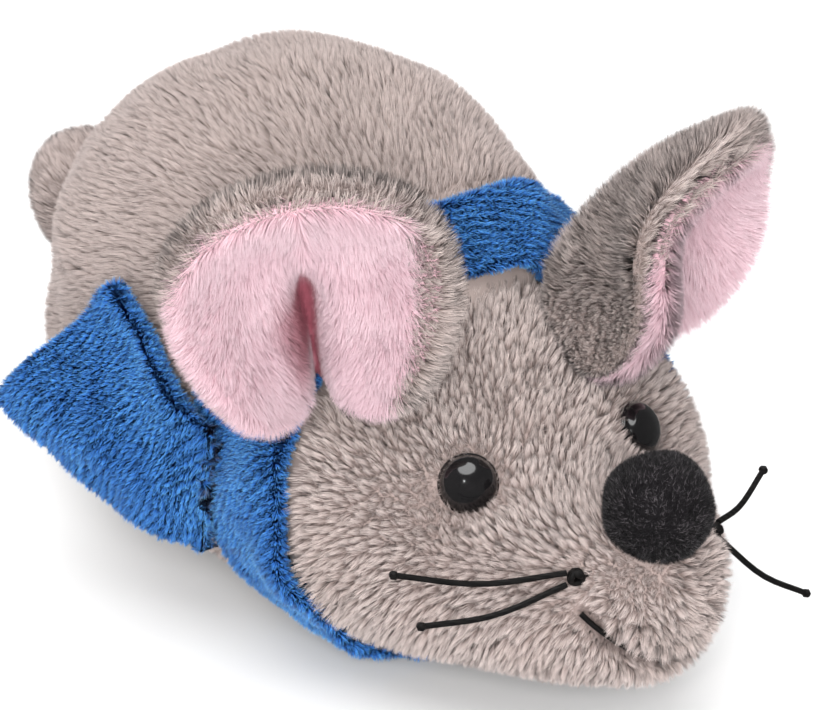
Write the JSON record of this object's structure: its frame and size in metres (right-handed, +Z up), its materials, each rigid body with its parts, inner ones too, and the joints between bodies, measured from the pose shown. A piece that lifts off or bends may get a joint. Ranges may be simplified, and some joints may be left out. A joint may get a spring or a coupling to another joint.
{
  "type": "plush toy mouse",
  "caption": "Stuffed plush mouse lying on its belly, with round lined ears, domed eyes, a pompom nose, thread whiskers and a fleece scarf whose square end hangs loose.",
  "frame": {"origin": "the middle of the flat belly panel that the toy lies on", "axes": "+Z up, -Y the way the toy looks, -X its right side; the toy is longest along Y"},
  "size_m": [0.0845, 0.1462, 0.0769],
  "materials": {
    "body_plush": "short grey-taupe plush pile, combed flat",
    "head_plush": "fluffier grey-taupe plush pile",
    "ear_plush": "grey-taupe plush pile",
    "ear_lining": "pale pink plush pile",
    "fleece": "bright blue curly fleece",
    "nose": "matt black felted pompom",
    "thread": "black waxed thread",
    "filling": "loose white fibre",
    "eye": "polished black",
    "washer": "translucent white"
  },
  "bodies": {
    "toy": {"body_cover": "body_plush", "belly_panel": "body_plush", "body_filling": "filling", "head_cover": "head_plush", "head_filling": "filling", "eye_right": "eye", "eye_left": "eye", "eye_washer_right": "washer", "eye_washer_left": "washer", "nose_pompom": "nose", "nose_thread": "thread", "whisker_tie": "thread", "mouth_stitch": "thread", "scarf_band": "fleece"},
    "ear_right": {"ear_right_back": "ear_plush", "ear_right_lining": "ear_lining"},
    "ear_left": {"ear_left_back": "ear_plush", "ear_left_lining": "ear_lining"},
    "tail": {"tail_cover": "body_plush", "tail_filling": "filling"},
    "scarf_end": {"scarf_flap": "fleece"},
    "whisker_right_upper": {"whisker_right_upper": "thread"},
    "whisker_right_lower": {"whisker_right_lower": "thread"},
    "whisker_left_upper": {"whisker_left_upper": "thread"},
    "whisker_left_lower": {"whisker_left_lower": "thread"}
  },
  "joints": [
    {"name": "ear_right_fold", "type": "hinge", "parent": "toy", "child": "ear_right", "pos_m": [-0.02235, -0.03791, 0.04329], "axis": [0.8806, -0.4603, 0.1126], "range_deg": [-25, 8], "stiffness_Nm_per_rad": 0.03},
    {"name": "ear_left_fold", "type": "hinge", "parent": "toy", "child": "ear_left", "pos_m": [0.01255, -0.04201, 0.04518], "axis": [0.875, 0.4812, -0.0534], "range_deg": [-25, 8], "stiffness_Nm_per_rad": 0.03},
    {"name": "tail_swing", "type": "hinge", "parent": "toy", "child": "tail", "pos_m": [-0.00076, 0.04114, 0.02393], "axis": [0, 0, 1], "range_deg": [-35, 2], "stiffness_Nm_per_rad": 0.01},
    {"name": "scarf_end_swing", "type": "hinge", "parent": "toy", "child": "scarf_end", "pos_m": [-0.03398, -0.027, 0.01448], "axis": [-0.0531, -0.1603, 0.9856], "range_deg": [-5, 55], "stiffness_Nm_per_rad": 0.004},
    {"name": "whisker_right_upper_bend", "type": "hinge", "parent": "toy", "child": "whisker_right_upper", "pos_m": [-0.01086, -0.07975, 0.0275], "axis": [0, 0, 1], "range_deg": [-20, 20], "stiffness_Nm_per_rad": 0.00004},
    {"name": "whisker_right_lower_bend", "type": "hinge", "parent": "toy", "child": "whisker_right_lower", "pos_m": [-0.01086, -0.07975, 0.0275], "axis": [0, 0, 1], "range_deg": [-20, 20], "stiffness_Nm_per_rad": 0.00004},
    {"name": "whisker_left_upper_bend", "type": "hinge", "parent": "toy", "child": "whisker_left_upper", "pos_m": [0.01086, -0.07975, 0.0275], "axis": [0, 0, 1], "range_deg": [-20, 20], "stiffness_Nm_per_rad": 0.00004},
    {"name": "whisker_left_lower_bend", "type": "hinge", "parent": "toy", "child": "whisker_left_lower", "pos_m": [0.01086, -0.07975, 0.0275], "axis": [0, 0, 1], "range_deg": [-20, 20], "stiffness_Nm_per_rad": 0.00004}
  ]
}
